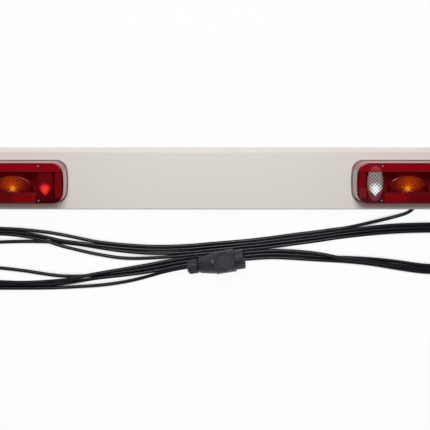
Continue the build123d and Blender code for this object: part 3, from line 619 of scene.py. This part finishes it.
# %% Ovals
def oval_lens(name, ground, hot, hot_shaded_facet, hatch, softness, gleam):
    material, shader = start_material(name, Roughness=0.1, IOR=1.49, Transmission_Weight=0.12)
    _, out, up = lamp_coordinates(material)
    across = add_node(material, "ShaderNodeMath", without_sign, _0=out)
    place = add_node(material, "ShaderNodeCombineXYZ", X=out, Y=up)
    facets = add_node(material, "ShaderNodeTexChecker", Vector=place, Scale=1 / prism_size).outputs["Fac"]
    colour = oval_ground(material, across, up, facets, **ground)
    glow = drop_of_light(material, across, up, facets, hatch, softness)
    hot_colour = paint(material, linear(hot), linear(hot_shaded_facet), facets)
    lit = add_node(material, "ShaderNodeMath", times, _0=glow, _1=gleam)
    shader.inputs["Emission Color"].default_value = linear(hot)
    material.node_tree.links.new(lit.outputs["Value"], shader.inputs["Emission Strength"])
    finish_lens(material, shader, paint(material, colour, hot_colour, glow))
    return material


# Undyed plastic: the lamp's pinkish inside shows through, and the painted drop of light is white
clear_ground = {
    "upper": "#b0a2a0", "lower": "#80464e", "edge": "#84404a", "strip": "#c0b2b0", "shaded_facet": "#40302f"
}
clear_oval = oval_lens(
    "moulded clear acrylic, prisms", clear_ground,
    hot="#ffffff", hot_shaded_facet="#dadce2", hatch=0.42, softness=0.42, gleam=0.1,
)
dress(clear_oval, "lens_inner_right")

# Dyed plastic: the prisms hardly show in the deep red, and the painted drop of light is a soft bright red
red_ground = {
    "upper": "#840a14", "lower": "#70080e", "edge": "#5c060a", "strip": "#6a060c", "shaded_facet": "#40040a"
}
red_oval = oval_lens(
    "moulded red acrylic, prisms", red_ground,
    hot="#ff3c34", hot_shaded_facet="#f02420", hatch=0.12, softness=0.9, gleam=0.17,
)
dress(red_oval, "lens_inner_left", "lens_stop_left", "lens_stop_right")

# %% [markdown]
# The indicator's amber dome is painted dark at its ends, as shade where the reflector turns away, and
# painted with a glow of light in the middle. Small dark cells of the prisms mottle it.

# %% Amber acrylic: the dome
glow_place, glow_reach = (2, 0), (32, 22)
mottle_pitch = 4.5
mottle_share = 0.55
mottle_edge, mottle_core = 0.45, 0.1

# Polished dyed plastic, as the red one, but more of the light comes back from its prisms
amber_acrylic, amber_shader = start_material(
    "moulded amber acrylic", Roughness=0.08, IOR=1.49, Specular_IOR_Level=0.35, Transmission_Weight=0.2
)
_, out, up = lamp_coordinates(amber_acrylic)
place = add_node(amber_acrylic, "ShaderNodeCombineXYZ", X=out, Y=up)
middle = spot(amber_acrylic, out, up, glow_place, glow_reach)
amber = paint(amber_acrylic, linear("#700c08"), linear("#c0440e"), middle)
cell_middles = {"voronoi_dimensions": "2D", "feature": "F1"}
mottle = add_node(amber_acrylic, "ShaderNodeTexVoronoi", cell_middles, Vector=place, Scale=1 / mottle_pitch)
mottle = add_node(
    amber_acrylic, "ShaderNodeMapRange", eased, Value=mottle, From_Min=mottle_edge, From_Max=mottle_core
)
amber = paint(amber_acrylic, amber, linear("#480806"), mottle, mottle_share)
print("mottle cells of", mottle_pitch, "mm")

# %% [markdown]
# Low down on the dome is a painted star of light: the bulb's reflected image, broken up by the same
# pyramids as in the ovals.
# Its rays could be drawn one by one, but a sine of the angle about the star's centre gives them all at once.

# %% Amber acrylic: the star
star_place = (0, -9.5)
ray_count, ray_softness = 7, 0.8
ray_reach, core_reach = (15, 13), (7, 7)

from_star = add_node(amber_acrylic, "ShaderNodeVectorMath", minus, _0=place, _1=(*star_place, 0))
sides = add_node(amber_acrylic, "ShaderNodeSeparateXYZ", Vector=from_star)
angle = add_node(
    amber_acrylic, "ShaderNodeMath", {"operation": "ARCTAN2"}, _0=sides.outputs["Y"], _1=sides.outputs["X"]
)
turns = add_node(amber_acrylic, "ShaderNodeMath", times, _0=angle, _1=ray_count)
rays = add_node(amber_acrylic, "ShaderNodeMath", {"operation": "SINE"}, _0=turns)
rays = add_node(
    amber_acrylic, "ShaderNodeMapRange", eased, Value=rays, From_Min=-ray_softness, From_Max=ray_softness
)
near_star = spot(amber_acrylic, out, up, star_place, ray_reach, full=0.8)
amber = paint(amber_acrylic, amber, linear("#e06c14"), near_star, rays)
facets = add_node(amber_acrylic, "ShaderNodeTexChecker", Vector=place, Scale=1 / prism_size).outputs["Fac"]
core = spot(amber_acrylic, out, up, star_place, core_reach, full=0.7)
star = paint(amber_acrylic, linear("#ffb02c"), linear("#ff8010"), facets)
amber = paint(amber_acrylic, amber, star, core)
finish_lens(amber_acrylic, amber_shader, amber)
dress(amber_acrylic, "lens_amber_left", "lens_amber_right")

# %% [markdown]
# The reflex panels below send light straight back to a driver behind. Away from that direction they are a
# flat deep red, the inner panel a little brighter than the outer one, with a painted shadow along the foot.

# %% Reflex panels
panel_foot_top = -36.6

# Hollow prisms behind a smooth face: an even red, with no reflector to be seen through it
reflex_red, reflex_shader = start_material("moulded red reflex acrylic", Roughness=0.15, IOR=1.49)
_, out, up = lamp_coordinates(reflex_red)
inner_panel = stripe(reflex_red, out, -past_end, 0)
shade = paint(reflex_red, linear("#64050c"), linear("#7c060e"), inner_panel)
# Painted shadow: a dark line along the panels' foot
panel_foot = stripe(reflex_red, up, past_foot, panel_foot_top)
shade = paint(reflex_red, shade, linear("#280306"), panel_foot)
reflex_red.node_tree.links.new(shade.outputs["Result"], reflex_shader.inputs["Base Color"])
dress(reflex_red, "reflex_left", "reflex_right")

# %% [markdown]
# ## The other lamp parts
# The clear windows at the inner ends light the number plate. Behind the lenses are a metallised reflector,
# glass bulbs and brass holders. These are one even finish each, so flat values are enough.

# %% Window, reflector and bulbs
# Undyed plastic a little dulled inside: pale, and half seen through
clear_acrylic, _ = start_material(
    "moulded clear acrylic", Base_Color=linear("#c8c4bc"), Roughness=0.1, IOR=1.49, Transmission_Weight=0.6
)
dress(clear_acrylic, "plate_window_left", "plate_window_right")

# A thin film of aluminium on plastic: a mirror, blurred by the moulding's skin
chrome, _ = start_material(
    "vacuum-metallised reflector", Base_Color=linear("#e8e8e8"), Metallic=1, Roughness=0.22
)
dress(chrome, "lamp_reflector_left", "lamp_reflector_right")

# A thin shell, drawn as a solid that hardly bends light, so that it stays see-through
glass, _ = start_material(
    "bulb glass", Base_Color=linear("#ffffff"), Roughness=0.02, IOR=1.1, Transmission_Weight=1
)
dress(glass, "bulbs_left", "bulbs_right")

# Bare yellow metal, turned and pressed: warm reflections with soft edges
brass, _ = start_material("brass", Base_Color=linear("#c8a860"), Metallic=1, Roughness=0.3)
dress(brass, "bulb_holders_left", "bulb_holders_right", "plug_pins")

# %% [markdown]
# The fixings are zinc-plated steel. A screw head is the size of a few pixels: its flat top catches the
# light, and its rounded edge mirrors the dark lens around it. Plain plating would blur the two together,
# so both are painted: a highlight on the flat top and a dark reflection on the edge, again by how far a
# face points upwards.

# %% Studs and screws
both_sides = "left", "right"
edge_from, edge_to = 0.85, 0.95

# Matt grey plating: a metal's reflection, but a wide one
zinc, _ = start_material("zinc-plated steel", Base_Color=linear("#b4b8bc"), Metallic=1, Roughness=0.35)
dress(zinc, *[f"{part}_{side}" for part in ("lamp_studs", "lamp_nuts") for side in both_sides])

# The same plating, with a painted highlight on the top and a painted dark reflection on the edge
head_zinc, head_shader = start_material("zinc-plated steel, screw heads", Metallic=0.6, Roughness=0.35)
normal = add_node(head_zinc, "ShaderNodeNewGeometry").outputs["True Normal"]
facing_up = add_node(head_zinc, "ShaderNodeSeparateXYZ", Vector=normal).outputs["Z"]
flat_top = add_node(
    head_zinc, "ShaderNodeMapRange", eased, Value=facing_up, From_Min=edge_from, From_Max=edge_to
)
sheen = paint(head_zinc, linear("#24262a"), linear("#b4b6ba"), flat_top)
head_zinc.node_tree.links.new(sheen.outputs["Result"], head_shader.inputs["Base Color"])
dress(head_zinc, "lens_screws_left", "lens_screws_right")

# %% [markdown]
# The lamp stands on a moulded base, with a rubber gasket that seals it to the board. Rubber grommets and a
# liner keep the cable from chafing, and nylon clips hold it inside the channel.

# %% Base, rubber and clips
# Soft black rubber: nearly no highlight
rubber, _ = start_material("black rubber", Base_Color=linear("#1c1e20"), Roughness=0.65)
rubber_parts = [f"{part}_{side}" for part in ("lamp_gasket", "lamp_grommets") for side in both_sides]
dress(rubber, "slot_liner", *rubber_parts)

# Plain moulded plastic: an even grey with a dull sheen
abs_base, _ = start_material("grey ABS", Base_Color=linear("#6f7d80"), Roughness=0.5)
dress(abs_base, "lamp_base_left", "lamp_base_right")

# Undyed nylon: milky white
nylon, _ = start_material("natural nylon", Base_Color=linear("#d8d6cc"), Roughness=0.5)
dress(nylon, "cable_clips")

# %% [markdown]
# ## Plug and cable finishes
# The plug is moulded in dark grey nylon with a dull skin, ribbed and knurled so that a wet hand can hold it.
# Its grooves look black. A wide light like this one reaches into them and would show them grey, so shade
# is painted in: the colour falls off to black where a face has others close in front of it.

# %% Plug
crease_reach = 4
closed_in, wide_open = 0.6, 0.97

# Dark grey plastic: soft highlights along the ribs, and painted shade, black, between them
plug_nylon, plug_shader = start_material("moulded dark grey nylon", Roughness=0.32, Specular_IOR_Level=0.38)
openness = add_node(plug_nylon, "ShaderNodeAmbientOcclusion", Distance=crease_reach * mm).outputs["AO"]
openness = add_node(
    plug_nylon, "ShaderNodeMapRange", eased, Value=openness, From_Min=closed_in, From_Max=wide_open
)
grey_and_crease_shade = paint(plug_nylon, linear("#010101"), linear("#2f3137"), openness)
plug_nylon.node_tree.links.new(grey_and_crease_shade.outputs["Result"], plug_shader.inputs["Base Color"])
dress(plug_nylon, "plug_gland_nut", "plug_body", "plug_collar", "plug_insert")
dress(rubber, "plug_seal")

# %% [markdown]
# The cable's sheath is soft black PVC, extruded smooth. The leads inside the channel are the same cable.

# %% Cable sheath
# Blue-black and a little greasy: one faint, wide highlight along each strand
cable_pvc, _ = start_material(
    "black PVC cable sheath", Base_Color=linear("#0a0e16"), Roughness=0.36, Specular_IOR_Level=0.32
)
cable.data.materials.append(cable_pvc)
dress(cable_pvc, "link_lead", "inner_lead")

# %% [markdown]
# ## Floor, light and finish
# The board lies on a sheet of white paper that fades into a white background, as on a light table: only
# where something touches it is there a thin shadow. Light alone can't make paper that white without
# burning out the board. So to the camera, and to rays that come off or through a glossy piece, most of the
# floor's white is its own light, held back close to what stands on it. For all other rays it is plain
# paper, so it doesn't light the board from below.

# %% Floor
white_share = 0.94
shadow_reach = 5
floor_size = 30

bpy.ops.object.select_all(action="DESELECT")
bpy.ops.mesh.primitive_plane_add(size=floor_size, location=(0, 0, 0))
floor = bpy.context.object
floor.name = "floor"
# Matt white, with no highlight that would give away the light's place
paper, paper_shader = start_material("white paper floor", Base_Color=linear("#f4f4f4"), Roughness=0.9)
path = add_node(paper, "ShaderNodeLightPath")
either = {"operation": "ADD", "use_clamp": True}
seen = add_node(
    paper, "ShaderNodeMath", either, _0=path.outputs["Is Camera Ray"], _1=path.outputs["Is Transmission Ray"]
)
seen = add_node(paper, "ShaderNodeMath", either, _0=seen, _1=path.outputs["Is Glossy Ray"])
open_sky = add_node(paper, "ShaderNodeAmbientOcclusion", Distance=shadow_reach * mm).outputs["AO"]
share = add_node(paper, "ShaderNodeMath", times, _0=open_sky, _1=white_share)
share = add_node(paper, "ShaderNodeMath", times, _0=seen, _1=share)
white = add_node(paper, "ShaderNodeEmission", Strength=1)
mix = add_node(paper, "ShaderNodeMixShader", _0=share, _1=paper_shader, _2=white)
paper.node_tree.links.new(mix.outputs["Shader"], paper.node_tree.nodes["Material Output"].inputs["Surface"])
floor.data.materials.append(paper)
print("floor:", floor_size, "m wide, with a shadow of", shadow_reach, "mm round what stands on it")

# %% [markdown]
# The room is light round about and dark overhead. The light walls fill the shadows and give the cable its
# faint edges; a light ceiling would lay a grey film over every lens, which faces straight up.

# %% World: dark overhead, light walls
walls_end, ceiling_begins = 0.4, 0.85
wall_light, ceiling_light = 0.55, 0.02

world = bpy.data.worlds.new("studio")
bpy.context.scene.world = world
world.use_nodes = True
sky = world.node_tree.nodes["Background"]
towards = add_node(world, "ShaderNodeTexCoord").outputs["Generated"]
height = add_node(world, "ShaderNodeSeparateXYZ", Vector=towards).outputs["Z"]
strength = add_node(
    world, "ShaderNodeMapRange", eased, Value=height,
    From_Min=walls_end, From_Max=ceiling_begins, To_Min=wall_light, To_Max=ceiling_light,
)
world.node_tree.links.new(strength.outputs["Result"], sky.inputs["Strength"])
sky.inputs["Color"].default_value = linear("#ffffff")
print("walls", wall_light, "and ceiling", ceiling_light)

# %% [markdown]
# Two soft boxes stand beyond the board's top edge and look down at its middle. The small one makes the
# narrow highlights on the lenses and the cable, and the large one lights the board. Standing there, they
# light the far walls of the lamps and leave soft shadows on the near side.


# %% Soft boxes
def soft_box(name, place, width, depth, power):
    bpy.ops.object.light_add(type="AREA", location=place)
    lamp = bpy.context.object
    lamp.name = name
    lamp.data.shape = "RECTANGLE"
    lamp.data.size, lamp.data.size_y = width, depth
    lamp.data.energy = power
    to_middle = -Vector(place)
    lamp.rotation_euler = to_middle.to_track_quat("-Z", "Y").to_euler()
    print(name, "box:", width, "x", depth, "m,", power, "W")


soft_box("overhead", place=(0.1, 0.6, 2.05), width=0.7, depth=0.4, power=15)
soft_box("key", place=(-0.1, 1.2, 2.1), width=0.9, depth=0.8, power=25)
bpy.context.scene.view_settings.view_transform = "Standard"

# %% [markdown]
# Last, the view layer is brought up to date, so that the boxes of the imported solids and of the dressed
# board are current. Only the cable may make them differ.

# %% Bringing the scene up to date
bpy.context.view_layer.update()
